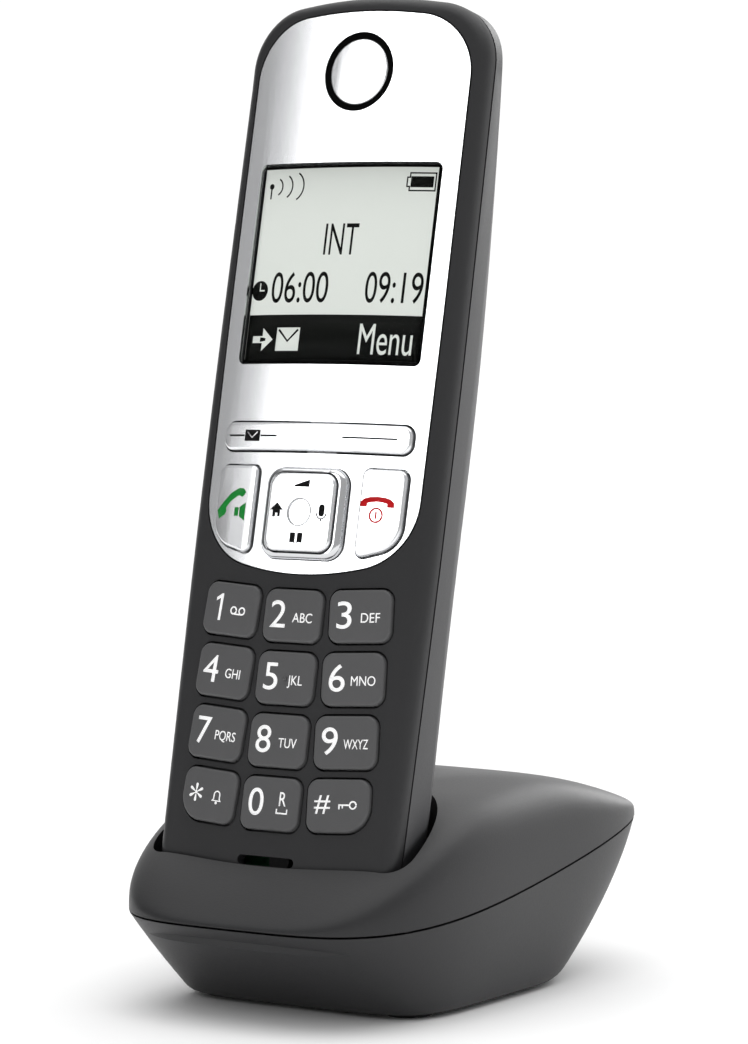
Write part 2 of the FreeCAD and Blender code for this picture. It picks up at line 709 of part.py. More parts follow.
def make_base_bottom():
    solid = bowl_form(0.0)
    floor_z = FOOT_LIFT + BASE_WALL
    hollow = bowl_form(BASE_WALL + 0.4).common(box(-60, 60, -80, 80, floor_z, 90))
    grown = PANEL_THICK
    hollow = hollow.cut(box(-19 - grown, 19 + grown, PANEL_Y - grown, 90, 0, 18.5 + grown))
    shell = solid.cut(hollow)
    shell = shell.cut(above_split(-SHUT_GAP / 2))
    lip = rim_prism(BASE_WALL + 0.45).cut(rim_prism(BASE_WALL + 1.8))
    lip = lip.common(above_split(-3.4)).cut(above_split(1.4))
    top_wall = dome_form(0.0).cut(dome_form(BASE_WALL + PART_GAP))
    lip = lip.cut(top_wall.common(above_split(-SHUT_GAP / 2)))
    lip = lip.cut(pocket_form(POCKET_WALL + 0.4, -6.0, 60.0))
    posts = [along_z(x, y, 3.6, floor_z - 0.4, BOSS_JOIN_Z) for x, y in BASE_SCREWS]
    rests = [along_z(x, y, 1.6, floor_z - 0.4, BASE_BOARD_Z)
             for x, y in ((-15.5, -8), (15.5, -8), (-9.0, 19.0), (9.0, 19.0))]
    shell = fuse_all([shell, lip] + posts + rests)
    tools = [box(-19, 19, PANEL_Y, 90, 4.5, 18.5)]
    tools += [along_z(x, y, 1.2, 0, BOSS_JOIN_Z + 1) for x, y in BASE_SCREWS]
    tools += [along_z(x, y, 2.8, -1, 6.5) for x, y in BASE_SCREWS]
    tools += [along_z(x, y, 4.3, -1, FOOT_LIFT + 1.0) for x, y in FOOT_PADS]
    tools.append(box(-16.0, -6.2, PANEL_Y - 3, PANEL_Y + 1, 7.6, 14.6))
    tools.append(along_y(11.5, 11.0, 3.4, PANEL_Y - 3, PANEL_Y + 1))
    tools.append(along_y(2.0, 11.0, 2.7, PANEL_Y - 3, PANEL_Y + 1))
    tools.append(pocket_form(POCKET_WALL + 0.4, POCKET_FLOOR_Z - POCKET_WALL - 0.4, 60.0))
    return cut_all(shell, tools)


# ------------------------------------------------------------- base internals
def make_base_board():
    top = BASE_BOARD_Z + BASE_BOARD_THICK
    board = box(-20.5, 20.5, -15.5, 21.8, BASE_BOARD_Z, top)
    return cut_all(board, [along_z(x, y, 4.0, 0, 20) for x, y in BASE_SCREWS[2:]])


def make_base_antennas():
    top = BASE_BOARD_Z + BASE_BOARD_THICK
    strips = []
    for side in (-1, 1):
        x = side * 18.6
        strips.append(box(x - 0.4, x + 0.4, -14.0, -3.0, top, top + 6.0))
    return Part.makeCompound(strips)


def make_line_socket():
    top = BASE_BOARD_Z + BASE_BOARD_THICK
    body = box(-17.6, -4.6, PANEL_Y - 14.0, PANEL_Y - PANEL_THICK, top, 16.2)
    return body.cut(box(-15.8, -6.4, PANEL_Y - 11.5, PANEL_Y, 7.8, 14.4))


def make_line_contacts():
    wires = []
    for index in range(4):
        x = -12.9 + 1.2 * index
        wires.append(box(x - 0.2, x + 0.2, PANEL_Y - 11.5, PANEL_Y - 4.0, 13.7, 14.1))
    return Part.makeCompound(wires)


def make_power_socket():
    top = BASE_BOARD_Z + BASE_BOARD_THICK
    body = box(7.0, 16.0, PANEL_Y - 13.0, PANEL_Y - PANEL_THICK, top, 15.6)
    return body.cut(along_y(11.5, 11.0, 3.1, PANEL_Y - 11.0, PANEL_Y))


def make_power_pin():
    return along_y(11.5, 11.0, 0.85, PANEL_Y - 11.0, PANEL_Y - 3.2)


def make_page_key():
    key = along_y(2.0, 11.0, 2.4, PANEL_Y - 3.2, PANEL_Y + 0.8)
    key = key.makeFillet(0.4, [edge for edge in key.Edges if edge.BoundBox.YMin > PANEL_Y + 0.5])
    return key.fuse(along_y(2.0, 11.0, 3.3, PANEL_Y - 3.1, PANEL_Y - 1.9)).removeSplitter()


def make_page_switch():
    top = BASE_BOARD_Z + BASE_BOARD_THICK
    body = box(-1.5, 5.5, PANEL_Y - 8.5, PANEL_Y - 5.0, top, 13.5)
    return body.fuse(along_y(2.0, 11.0, 1.4, PANEL_Y - 5.0, PANEL_Y - 4.0)).removeSplitter()


def make_base_weight():
    plate = box(-12.0, 12.0, -14.5, 16.0, FOOT_LIFT + BASE_WALL, 4.4)
    return plate.makeFillet(0.4, [edge for edge in plate.Edges if edge.BoundBox.ZMin > 4.3])


def make_contact_carrier():
    low = POCKET_FLOOR_Z - POCKET_WALL
    block = box(-15.0, 15.0, 7.4, 14.2, low - 6.4, low)
    tools = []
    for side in (-1, 1):
        tools.append(along_z(side * PIN_X, PIN_Y, 2.5, low - 5.6, low - 0.8))
        tools.append(along_z(side * PIN_X, PIN_Y, 1.5, low - 2.0, low + 1.0))
    return seat(cut_all(block, tools))


def make_charge_contact(side):
    low = POCKET_FLOOR_Z - POCKET_WALL
    pin = along_z(side * PIN_X, PIN_Y, 1.15, low - 2.2, 0.0)
    tip = [edge for edge in pin.Edges if edge.BoundBox.ZMin > -0.1]
    pin = pin.makeFillet(0.3, tip)
    return seat(pin.fuse(along_z(side * PIN_X, PIN_Y, 2.1, low - 2.2, low - 1.1)).removeSplitter())


def make_contact_spring(side):
    """Stacked ring spring: rings joined by posts on alternate sides."""
    low = POCKET_FLOOR_Z - POCKET_WALL - 5.6 + 0.3
    x = side * PIN_X
    pieces = []
    for level in range(4):
        z = low + 0.9 * level
        pieces.append(Part.makeTorus(1.6, 0.24, vec(x, PIN_Y, z), vec(0, 0, 1)))
        if level < 3:
            hand = 1 if level % 2 else -1
            pieces.append(along_z(x + hand * 1.6, PIN_Y, 0.2, z, z + 0.9))
    return seat(fuse_all(pieces))


def make_base_screws():
    screws = []
    for index, (x, y) in enumerate(BASE_SCREWS):
        end = BOSS_JOIN_Z + (1.2 if index < 2 else 5.0)
        head = along_z(x, y, 2.4, 5.1, 6.5)
        shank = along_z(x, y, 0.9, 6.4, end)
        slot = box(x - 1.5, x + 1.5, y - 0.3, y + 0.3, 5.0, 5.6)
        screws.append(head.fuse(shank).removeSplitter().cut(slot))
    return Part.makeCompound(screws)


def make_rubber_feet():
    feet = []
    for x, y in FOOT_PADS:
        pad = along_z(x, y, 4.0, 0.0, FOOT_LIFT + 1.0)
        feet.append(pad.makeFillet(0.3, [edge for edge in pad.Edges if edge.BoundBox.ZMax < 0.1]))
    return Part.makeCompound(feet)


# --------------------------------------------------------------------- export
def export_handset():
    export("front_shell", seat(make_front_shell()))
    export("back_shell", seat(make_back_shell()))
    export("battery_cover", seat(make_battery_cover()))
    export("face_plate", seat(make_face_plate()))
    export("display_window", seat(make_display_window()))
    export("display_mask", seat(make_display_mask()))
    export("lcd_module", seat(make_lcd_module()))
    export("earpiece_ring", seat(make_earpiece_ring()))
    export("earpiece_cap", seat(make_earpiece_cap()))
    export("earpiece_speaker", seat(make_earpiece_speaker()))
    export("nav_rim", seat(make_nav_rim()))
    export("nav_pad", seat(make_nav_pad()))
    export("nav_gimbal", seat(make_nav_gimbal()))
    export("soft_key_bar", seat(make_soft_key_bar()))
    export("talk_key", seat(key_cap(mirrored(call_key_outline()), CALL_PROUD, 0.6)))
    export("end_key", seat(key_cap(call_key_outline(), CALL_PROUD, 0.6)))
    for name, x, z, turn in key_places():
        export(name, seat(key_cap(key_outline(name, x, z, turn), KEY_PROUD, 0.55)))
    export("key_mat", seat(make_key_mat()))
    export("dome_sheet", seat(make_dome_sheet()))
    export("handset_board", seat(make_handset_board()))
    export("microphone", seat(make_microphone()))
    export("ringer_speaker", seat(make_ringer_speaker()))
    export("handset_antenna", seat(make_handset_antenna()))
    export("shield_can", seat(make_shield_can()))
    export("battery_cell_left", seat(make_battery_cell(-1)))
    export("battery_cell_right", seat(make_battery_cell(1)))
    export("battery_contacts", seat(make_battery_contacts()))
    export("handset_charge_pads", seat(make_charge_pads()))
    export("handset_screws", seat(make_handset_screws()))


def export_base():
    export("base_top", make_base_top())
    export("base_bottom", make_base_bottom())
    export("base_board", make_base_board())
    export("base_antennas", make_base_antennas())
    export("line_socket", make_line_socket())
    export("line_contacts", make_line_contacts())
    export("power_socket", make_power_socket())
    export("power_pin", make_power_pin())
    export("page_key", make_page_key())
    export("page_switch", make_page_switch())
    export("base_weight", make_base_weight())
    export("contact_carrier", make_contact_carrier())
    export("charge_contact_left", make_charge_contact(-1))
    export("charge_contact_right", make_charge_contact(1))
    export("contact_spring_left", make_contact_spring(-1))
    export("contact_spring_right", make_contact_spring(1))
    export("base_screws", make_base_screws())
    export("rubber_feet", make_rubber_feet())


os.makedirs("parts", exist_ok=True)
export_handset()
export_base()
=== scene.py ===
import json
import math

import bpy
import numpy as np
from mathutils import Matrix, Vector, geometry

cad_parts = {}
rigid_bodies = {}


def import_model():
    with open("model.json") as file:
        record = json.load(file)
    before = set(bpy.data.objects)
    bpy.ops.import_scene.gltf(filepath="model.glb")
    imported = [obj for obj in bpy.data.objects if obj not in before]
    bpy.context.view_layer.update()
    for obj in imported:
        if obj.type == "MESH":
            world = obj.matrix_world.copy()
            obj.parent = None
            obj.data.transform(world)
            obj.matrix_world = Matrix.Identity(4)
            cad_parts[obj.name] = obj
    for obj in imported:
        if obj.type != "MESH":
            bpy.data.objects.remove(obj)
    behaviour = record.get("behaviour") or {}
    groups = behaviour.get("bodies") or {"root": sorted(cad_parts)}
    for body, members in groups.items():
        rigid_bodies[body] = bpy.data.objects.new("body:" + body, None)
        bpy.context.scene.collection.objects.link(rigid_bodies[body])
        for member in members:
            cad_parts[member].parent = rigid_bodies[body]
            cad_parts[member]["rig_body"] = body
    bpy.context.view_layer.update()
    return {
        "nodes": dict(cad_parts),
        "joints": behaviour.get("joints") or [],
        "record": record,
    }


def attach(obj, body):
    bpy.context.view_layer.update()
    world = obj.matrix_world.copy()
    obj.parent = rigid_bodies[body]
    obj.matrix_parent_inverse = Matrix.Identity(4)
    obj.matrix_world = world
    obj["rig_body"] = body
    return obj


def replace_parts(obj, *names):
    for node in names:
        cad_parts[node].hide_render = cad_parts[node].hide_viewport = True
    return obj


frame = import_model()

# ---------------------------------------------------------------- handset frame
# x right, y depth going back from the crowned face, z along the handset from its bottom end (mm).
joints = {joint["name"]: joint for joint in frame["joints"]}
UP = np.array(joints["handset_lift"]["axis"])
IN = np.array([0.0, UP[2], -UP[1]])
NAV_DEPTH, NAV_Z = 5.15, 65.0
SEAT = np.array(joints["nav_tilt_updown"]["pos_m"]) - (NAV_DEPTH * IN + NAV_Z * UP) / 1000
CROWN_RADIUS = 140.0
# How far each kind of key stands out of the crowned face, and how far ink stands off what carries it.
KEY_PROUD, CALL_PROUD, SOFT_PROUD, PAD_PROUD = 0.7, 0.9, 0.8, 2.2
INK = 0.05


def seat(x, y, z):
    """Handset-frame millimetres to row-frame metres: SEAT + x right + y along IN + z along UP."""
    x, y, z = np.broadcast_arrays(np.asarray(x, float), y, z)
    right = np.array([1.0, 0.0, 0.0])
    return SEAT + (x[..., None] * right + y[..., None] * IN + z[..., None] * UP) / 1000


def crown(x):
    """Depth of the crowned face at x: R - sqrt(R^2 - x^2), a circle of radius R across the width."""
    return CROWN_RADIUS - np.sqrt(CROWN_RADIUS ** 2 - np.asarray(x, float) ** 2)


# ---------------------------------------------------------------- materials
def colour(code):
    """Linear colour of an sRGB hex value."""
    parts = [int(code[i:i + 2], 16) / 255 for i in (0, 2, 4)]
    linear = [p / 12.92 if p <= 0.04045 else ((p + 0.055) / 1.055) ** 2.4 for p in parts]
    return (*linear, 1.0)


def add(tree, kind, links=(), **settings):
    """Adds a shader node: settings for its properties or inputs, links as (input, source, output)."""
    item = tree.nodes.new("ShaderNode" + kind)
    for key, value in settings.items():
        if hasattr(item, key):
            setattr(item, key, value)
        else:
            item.inputs[key.replace("_", " ")].default_value = value
    for socket, source, output in links:
        tree.links.new(source.outputs[output], item.inputs[socket])
    return item


def blank_material(name):
    made = bpy.data.materials.new(name)
    made.use_nodes = True
    made.node_tree.nodes.clear()
    return made, made.node_tree


MOTTLE_SCALE = 60.0
GRAIN_DEPTH = 0.0001


def moulded(name, base, dark, roughness, grain_mm, bump, mottle=0.05, **shader):
    """Moulded or lacquered finish: fine grain in the normal, slight mottle in colour and gloss."""
    made, tree = blank_material(name)
    coords = add(tree, "TexCoord")
    fine = add(tree, "TexNoise", [("Vector", coords, "Object")], Scale=1000 / grain_mm, Detail=2.0)
    broad = add(tree, "TexNoise", [("Vector", coords, "Object")], Scale=MOTTLE_SCALE, Detail=3.0)
    tint = add(tree, "Mix", [("Factor", broad, "Fac")], data_type="RGBA")
    tint.inputs["A"].default_value = colour(base)
    tint.inputs["B"].default_value = colour(dark)
    gloss = add(tree, "MapRange", [("Value", fine, "Fac")])
    gloss.inputs["To Min"].default_value = roughness - mottle
    gloss.inputs["To Max"].default_value = roughness + mottle
    relief = add(tree, "Bump", [("Height", fine, "Fac")], Strength=bump, Distance=GRAIN_DEPTH)
    inputs = [("Base Color", tint, "Result"), ("Roughness", gloss, "Result"),
              ("Normal", relief, "Normal")]
    body = add(tree, "BsdfPrincipled", inputs)
    for key, value in shader.items():
        body.inputs[key.replace("_", " ")].default_value = value
    add(tree, "OutputMaterial", [("Surface", body, "BSDF")])
    return made


def clear_sheet(name, tint, mirror):
    """Thin clear moulding: light passes straight through and a little is mirrored."""
    made, tree = blank_material(name)
    through = add(tree, "BsdfTransparent", Color=colour(tint))
    shine = add(tree, "BsdfGlossy", Color=(1, 1, 1, 1), Roughness=0.04)
    edge = add(tree, "LayerWeight", Blend=0.08)
    share = add(tree, "Math", [(0, edge, "Fresnel")], operation="MULTIPLY")
    share.inputs[1].default_value = mirror
    both = add(tree, "MixShader", [(0, share, "Value"), (1, through, "BSDF"), (2, shine, "BSDF")])
    add(tree, "OutputMaterial", [("Surface", both, "Shader")])
    return made


# Anthracite ABS from a spark-eroded mould: satin, with a 0.35 mm grain that breaks up highlights.
abs_body = moulded("anthracite_abs", "2b2b2c", "28282a", 0.46, 0.35, 0.14, Specular_IOR_Level=0.4)
# Keycap ABS from a finer mould: smoother and a shade lighter than the shell round it.
abs_key = moulded("keycap_abs", "5a5a5b", "565657", 0.42, 0.30, 0.08, Specular_IOR_Level=0.4)
# Silver lacquer sprayed over a moulded plate: fine metal flake gives it a soft metallic sheen. This
# copy, for the plate and earpiece cap, is a shade darker than the keys' copy: painted shade that holds
# back the light on the plate.
silver_plate_shaded = moulded("silver_lacquer", "e6e7e9", "e1e2e4", 0.24, 0.12, 0.03, 0.02, Metallic=0.95)
# The same lacquer on the keys, at its full brightness, a little brighter than the plate's copy with its
# painted shade.
silver_key = moulded("silver_key_lacquer", "ebecee", "e7e8ea", 0.24, 0.12, 0.03, 0.02, Metallic=0.92)
# Chrome plated on a moulded ring: mirror-like, with the slight waviness of plastic under it.
chrome = moulded("chrome_plate", "d9dadc", "d4d5d7", 0.12, 0.6, 0.02, 0.02, Metallic=1.0)
# Black acrylic cut for the earpiece gap and the display's border: dead black and flat.
black_gloss = moulded("black_acrylic", "030303", "050505", 0.4, 0.5, 0.01, 0.02,
                      Specular_IOR_Level=0.05)
# White ink of the key legends, printed in two passes: opaque on the dark keys, with a painted glow that
# makes it brighter than the lamps alone would light it.
glowing_white_ink = moulded("glowing_white_ink", "fafafa", "f6f6f6", 0.5, 0.1, 0.02,
                    Emission_Color=colour("ffffff"), Emission_Strength=0.25)
# Black ink, pad-printed on the lacquer: thin, matt and even.
black_ink = moulded("black_ink", "0c0c0d", "101011", 0.5, 0.1, 0.02, Specular_IOR_Level=0.1)
# Grey, matt: a faint ring laid round the middle of the navigation pad.
faint_grey_ring = moulded("faint_grey_ring", "b4b5b7", "b0b1b3", 0.5, 0.1, 0.02, Specular_IOR_Level=0.2)
# Green ink, pad-printed: clear leaf green, slightly matt.
green_ink = moulded("green_ink", "128c34", "128631", 0.5, 0.1, 0.02, Specular_IOR_Level=0.2)
# Red ink, pad-printed: signal red, slightly matt.
red_ink = moulded("red_ink", "cf0a14", "c80a13", 0.5, 0.1, 0.02, Specular_IOR_Level=0.2)
# Liquid crystal film: pale grey-green, with a painted glow that makes it brighter than the lamps alone
# would light it.
lcd_field_glowing = moulded("lcd_field_glowing", "bcbebb", "b8bab7", 0.5, 0.25, 0.02,
                    Emission_Color=colour("e2e4e1"), Emission_Strength=0.55, Specular_IOR_Level=0.1)
# Switched-on dots of the same film: near black against the glow.
lcd_dark = moulded("lcd_dark", "0b0c0b", "0e0f0e", 0.5, 0.25, 0.02, Specular_IOR_Level=0.1)
# Rubber moulded for the feet: very dark, dull and slightly rough.
rubber = moulded("moulded_rubber", "1b1b1c", "171718", 0.8, 0.4, 0.25)
# Silicone sheet pressed for the keypad: dark grey, dull and soft-looking.
silicone = moulded("silicone_mat", "2c2d2e", "28292a", 0.6, 0.4, 0.1)
# Spring steel, stamped and nickel plated: bright with fine rolling marks.
steel = moulded("plated_steel", "c2c3c5", "b8b9bb", 0.3, 0.3, 0.05, Metallic=1.0)
# Contacts flashed with gold over nickel: warm and bright.
gold = moulded("gold_flash", "d9b25c", "d1a950", 0.25, 0.3, 0.03, Metallic=1.0)
# Glass-fibre board coated with green solder mask: glossy, with the weave just felt under it.
board_green = moulded("solder_mask", "14532f", "124a2a", 0.4, 0.8, 0.05)
# Glass-filled nylon moulded for sockets and inner parts: black and dull.
black_moulding = moulded("black_nylon", "1d1e1f", "19191b", 0.55, 0.4, 0.15)
# Cell jacket of shrunk film, plain green and glossy.
cell_wrap = moulded("printed_cell_wrap", "2f7d4a", "2b7344", 0.35, 0.5, 0.02)
# Acetal moulded for the gimbal under the navigation pad: milky white and slippery.
acetal = moulded("white_acetal", "e8e8e4", "e2e2de", 0.45, 0.4, 0.05)
# Acrylic moulded for the window over the display: clear, with a faint mirror towards its edges.
window_clear = clear_sheet("clear_acrylic", "fafbfa", 0.25)

FINISH = {
    "body_abs": abs_body, "key_grey": abs_key, "silver_lacquer": silver_key, "chrome_trim": chrome,
    "black_gloss": black_gloss, "window_clear": window_clear, "lcd_stack": lcd_field_glowing,
    "inner_plastic": black_moulding, "page_key_plastic": abs_key, "circuit_board": board_green,
    "spring_steel": steel, "gold_contact": gold, "silicone": silicone, "foot_rubber": rubber,
    "gimbal_plastic": acetal, "cell_jacket": cell_wrap,
}
slots = {part["node"]: part["material_slot"] for part in frame["record"]["subparts"]}


def coat(obj, made):
    """Gives an object one material."""
    obj.data.materials.clear()
    obj.data.materials.append(made)


for name, obj in frame["nodes"].items():
    coat(obj, FINISH[slots[name]])
coat(frame["nodes"]["face_plate"], silver_plate_shaded)


# ---------------------------------------------------------------- mesh helpers
ARTWORK_SHARP_DEG, SKIN_SHARP_DEG = 40, 32
MERGE_STEPS_PER_METRE = 1e7


def piece(name, verts, faces, made, body, sharp_deg):
    """New mesh piece from arrays of points (m) and index tuples, riding on a body."""
    mesh = bpy.data.meshes.new(name)
    mesh.from_pydata(np.asarray(verts, float).reshape(-1, 3).tolist(), [], faces)
    mesh.update()
    obj = bpy.data.objects.new(name, mesh)
    bpy.context.scene.collection.objects.link(obj)
    mesh.materials.append(made)
    mesh.shade_smooth()
    mesh.set_sharp_from_angle(angle=math.radians(sharp_deg))
    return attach(obj, body)


def smooth_copy(node, made):
    """Smooth-shaded copy of a CAD node that stands for it, with its coincident corners made one."""
    source = frame["nodes"][node].data
    points = np.zeros(len(source.vertices) * 3, np.float32)
    source.vertices.foreach_get("co", points)
    steps = np.round(points.reshape(-1, 3).astype(float) * MERGE_STEPS_PER_METRE).astype(np.int64)
    merged, where = np.unique(steps, axis=0, return_inverse=True)
    corners = np.zeros(len(source.loops), np.int32)
    source.loops.foreach_get("vertex_index", corners)
    faces = where.reshape(-1)[corners].reshape(-1, 3)
    first, second, third = faces.T
    whole = (first != second) & (second != third) & (third != first)
    obj = piece(node + "_skin", merged / MERGE_STEPS_PER_METRE, faces[whole].tolist(), made,
                frame["nodes"][node]["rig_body"], SKIN_SHARP_DEG)
    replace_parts(obj, node)


# ---------------------------------------------------------------- flat artwork
# A flat shape is (points in face millimetres, faces). x runs right and z along the handset.
STRIP_WIDTH = 1.2
CAP_HEIGHT = 0.73
INK_THICKNESS = 0.05


def filled(points):
    """Flat shape from an outline, or from an outline and its holes."""
    loops = [points] if isinstance(points[0][0], (int, float)) else points
    loops = [[Vector((p[0], p[1], 0.0)) for p in loop] for loop in loops]
    flat = np.array([(v.x, v.y) for loop in loops for v in loop])
    return flat, [tuple(t) for t in geometry.tessellate_polygon(loops)]


def arc(cx, cz, radius, start, end, steps=24):
    """Points (cx + r cos a, cz + r sin a) for angles a from start to end in degrees."""
    angles = np.radians(np.linspace(start, end, steps))
    return list(zip(cx + radius * np.cos(angles), cz + radius * np.sin(angles)))


def band(cx, cz, outer, inner, start, end):
    """Part of a ring between two radii."""
    return filled(arc(cx, cz, outer, start, end) + arc(cx, cz, inner, end, start))


def disc(cx, cz, radius):
    """Full circle; its last point stops one step short of its first."""
    return filled(arc(cx, cz, radius, 0, 345))


def bar(x0, x1, z0, z1):
    """Rectangle cut into short strips along x, so that it follows the crown."""
    count = max(int(math.ceil(abs(x1 - x0) / STRIP_WIDTH)), 1)
    across = np.linspace(x0, x1, count + 1)
    flat = np.concatenate([np.stack([across, np.full(count + 1, z)], 1) for z in (z0, z1)])
    first = np.arange(count)
    quads = np.stack([first, first + 1, first + count + 2, first + count + 1], 1)
    return flat, [tuple(q) for q in quads.tolist()]


def stroke(points, width):
    """Line of even width through points, mitred at its bends."""
    path = np.array(points, float)
    run = np.gradient(path, axis=0)
    run /= np.linalg.norm(run, axis=1)[:, None]
    side = np.stack([-run[:, 1], run[:, 0]], 1) * width / 2
    return filled([tuple(p) for p in path + side] + [tuple(p) for p in (path - side)[::-1]])


def lettering(text, x, z, height, width):
    """Text as a flat shape in the box of this width round x, its capitals this height round z."""
    curve = bpy.data.curves.new("lettering", "FONT")
    curve.body = text
    curve.size = 1.0
    holder = bpy.data.objects.new("lettering", curve)
    bpy.context.scene.collection.objects.link(holder)
    bpy.context.view_layer.update()
    depsgraph = bpy.context.evaluated_depsgraph_get()
    mesh = bpy.data.meshes.new_from_object(holder.evaluated_get(depsgraph))
    flat = np.array([tuple(v.co[:2]) for v in mesh.vertices])
    faces = [tuple(p.vertices) for p in mesh.polygons]
    bpy.data.objects.remove(holder)
    bpy.data.meshes.remove(mesh)
    left, right = flat[:, 0].min(), flat[:, 0].max()
    across = (flat[:, 0] - (left + right) / 2) * width / (right - left)
    low, tall = (flat[:, 1].min(), np.ptp(flat[:, 1])) if len(text) == 1 else (0.0, CAP_HEIGHT)
    return np.stack([x + across, z + (flat[:, 1] - low - tall / 2) * height / tall], 1), faces


def turned(flat, cx, cz, degrees):
    """Points turned about (cx, cz)."""
    angle = math.radians(degrees)
    dx, dz = flat[:, 0] - cx, flat[:, 1] - cz
    return np.stack([cx + dx * math.cos(angle) - dz * math.sin(angle),
                     cz + dx * math.sin(angle) + dz * math.cos(angle)], 1)


def artwork(name, shapes, made, body, lift, turn=None, thick=INK_THICKNESS):
    """Flat shapes laid on the crowned face, at depth crown(x) - lift - INK, and thickened inwards."""
    verts, faces, start = [], [], 0
    for flat, tris in shapes:
        verts.append(flat)
        faces += [tuple(i + start for i in t) for t in tris]
        start += len(flat)
    flat = np.concatenate(verts)
    if turn:
        flat = turned(flat, *turn)
    depth = crown(flat[:, 0]) - lift - INK
    area = [np.cross(flat[t[1]] - flat[t[0]], flat[t[2]] - flat[t[0]]) for t in faces]
    faces = [t if a > 0 else tuple(reversed(t)) for t, a in zip(faces, area)]
    points = seat(flat[:, 0], depth, flat[:, 1])
    obj = piece(name, points, faces, made, body, ARTWORK_SHARP_DEG)
    body_of_ink = obj.modifiers.new("ink_thickness", "SOLIDIFY")
    body_of_ink.thickness = thick / 1000
    body_of_ink.offset = -1.0
    return obj


# ---------------------------------------------------------------- number keys
KEY_TOP_ROW_Z, KEY_PITCH_X, KEY_PITCH_Z = 47.6, 13.0, 10.57
# The outer columns sit higher than the middle one and their legends lean with them.
OUTER_COLUMN_RISE, OUTER_COLUMN_LEAN_DEG = 0.6, 3.9
DIGIT_HEIGHT, SIGN_HEIGHT, LETTER_HEIGHT = 4.6, 3.1, 1.7
DIGIT_OFFSET, LETTER_OFFSET = (-2.7, 0.2), (2.2, -0.25)
RING_OUTER, RING_INNER = 0.72, 0.46
DOT_OFFSET, DOT_RADIUS, DOT_HEIGHT = (0.25, -0.15), 0.3, 0.25
# Node, digit and its width, letters and their width.
LEGENDS = (("key_1", "1", 1.4, "", 0), ("key_2", "2", 3.1, "ABC", 3.9), ("key_3", "3", 2.8, "DEF", 3.5),
           ("key_4", "4", 3.3, "GHI", 3.2), ("key_5", "5", 2.8, "JKL", 2.9),
           ("key_6", "6", 3.0, "MNO", 4.5), ("key_7", "7", 3.0, "PQRS", 4.4),
           ("key_8", "8", 3.0, "TUV", 3.6), ("key_9", "9", 3.0, "WXYZ", 4.5),
           ("key_star", "*", 2.8, "", 0), ("key_0", "0", 3.0, "", 0), ("key_hash", "#", 3.0, "", 0))


def spools(x, z):
    """Two tape spools on a line, for the answering service."""
    rings = [band(x + dx, z - 0.15, RING_OUTER, RING_INNER, 0, 355) for dx in (0.75, 2.55)]
    return rings + [bar(x + 0.75, x + 2.55, z - 0.87, z - 0.63)]


def bell(x, z):
    """Outlined bell with its clapper."""
    x, z = x + 1.95, z - 0.1
    outline = []
    for radius, waist_z, foot, foot_z in ((0.72, -0.35, 1.05, -0.75), (0.50, -0.3, 0.62, -0.57)):
        left = [(x - foot, z + foot_z), (x - radius, z + waist_z)]
        right = [(x + radius, z + waist_z), (x + foot, z + foot_z)]
        outline.append(left + arc(x, z + 0.35, radius, 180, 0, 12) + right)
    return [filled(outline), disc(x, z - 1.02, 0.24)]


def recall_sign(x, z):
    """Letter R over an open cup."""
    cup = [bar(x + 1.5, x + 3.75, z - 1.6, z - 1.36), bar(x + 1.5, x + 1.72, z - 1.4, z - 0.75),
           bar(x + 3.53, x + 3.75, z - 1.4, z - 0.75)]
    return [lettering("R", x + 2.63, z + 0.9, 2.35, 1.35)] + cup


def lock_key(x, z):
    """Door key: a ring, a shank and two teeth."""
    shank = [bar(x + 0.35, x + 2.5, z + 0.02, z + 0.28), bar(x + 0.35, x + 0.6, z - 0.55, z + 0.1),
             bar(x + 1.0, x + 1.22, z - 0.4, z + 0.1)]
    return [band(x + 3.0, z + 0.15, RING_OUTER, RING_INNER, 0, 355)] + shank


SMALL_SIGNS = {"key_1": spools, "key_star": bell, "key_0": recall_sign, "key_hash": lock_key}


def figure_one(x, z):
    """Figure one with a short flag."""
    half = DIGIT_HEIGHT / 2
    stem_left, stem_right, flag_left = x + 0.25, x + 0.75, x - 0.65
    return filled([(stem_left, z - half), (stem_right, z - half), (stem_right, z + half),
                   (x + 0.4, z + half), (flag_left, z + half - 0.75), (flag_left, z + half - 1.3),
                   (stem_left, z + half - 0.75)])


def make_number_key(index, name, digit, digit_width, letters, letter_width):
    """Keycap with its printed legend; the middle key of the pad also has a raised dot."""
    column = index % 3 - 1
    x = column * KEY_PITCH_X
    z = KEY_TOP_ROW_Z - KEY_PITCH_Z * (index // 3) + OUTER_COLUMN_RISE * abs(column)
    smooth_copy(name, abs_key)
    digit_x, digit_z = x + DIGIT_OFFSET[0], z + DIGIT_OFFSET[1]
    height = DIGIT_HEIGHT if digit.isdigit() else SIGN_HEIGHT
    shapes = [figure_one(digit_x, digit_z) if digit == "1"
              else lettering(digit, digit_x, digit_z, height, digit_width)]
    if letters:
        place = x + LETTER_OFFSET[0], z + LETTER_OFFSET[1]
        shapes.append(lettering(letters, *place, LETTER_HEIGHT, letter_width))
    if name in SMALL_SIGNS:
        shapes += SMALL_SIGNS[name](x, z)
    lean = (x, z, OUTER_COLUMN_LEAN_DEG * column)
    artwork("legend_" + name, shapes, glowing_white_ink, name, KEY_PROUD, lean)
    if name == "key_5":
        dot = disc(x + DOT_OFFSET[0], z + DOT_OFFSET[1], DOT_RADIUS)
        artwork("tactile_dot", [dot], abs_key, name, KEY_PROUD + DOT_HEIGHT - INK, thick=DOT_HEIGHT)


for index, legend in enumerate(LEGENDS):
    make_number_key(index, *legend)


# ---------------------------------------------------------------- control keys
SOFT_Z = 78.15
SOFT_LINE_HALF, SOFT_ICON_HALF = 0.15, 0.97


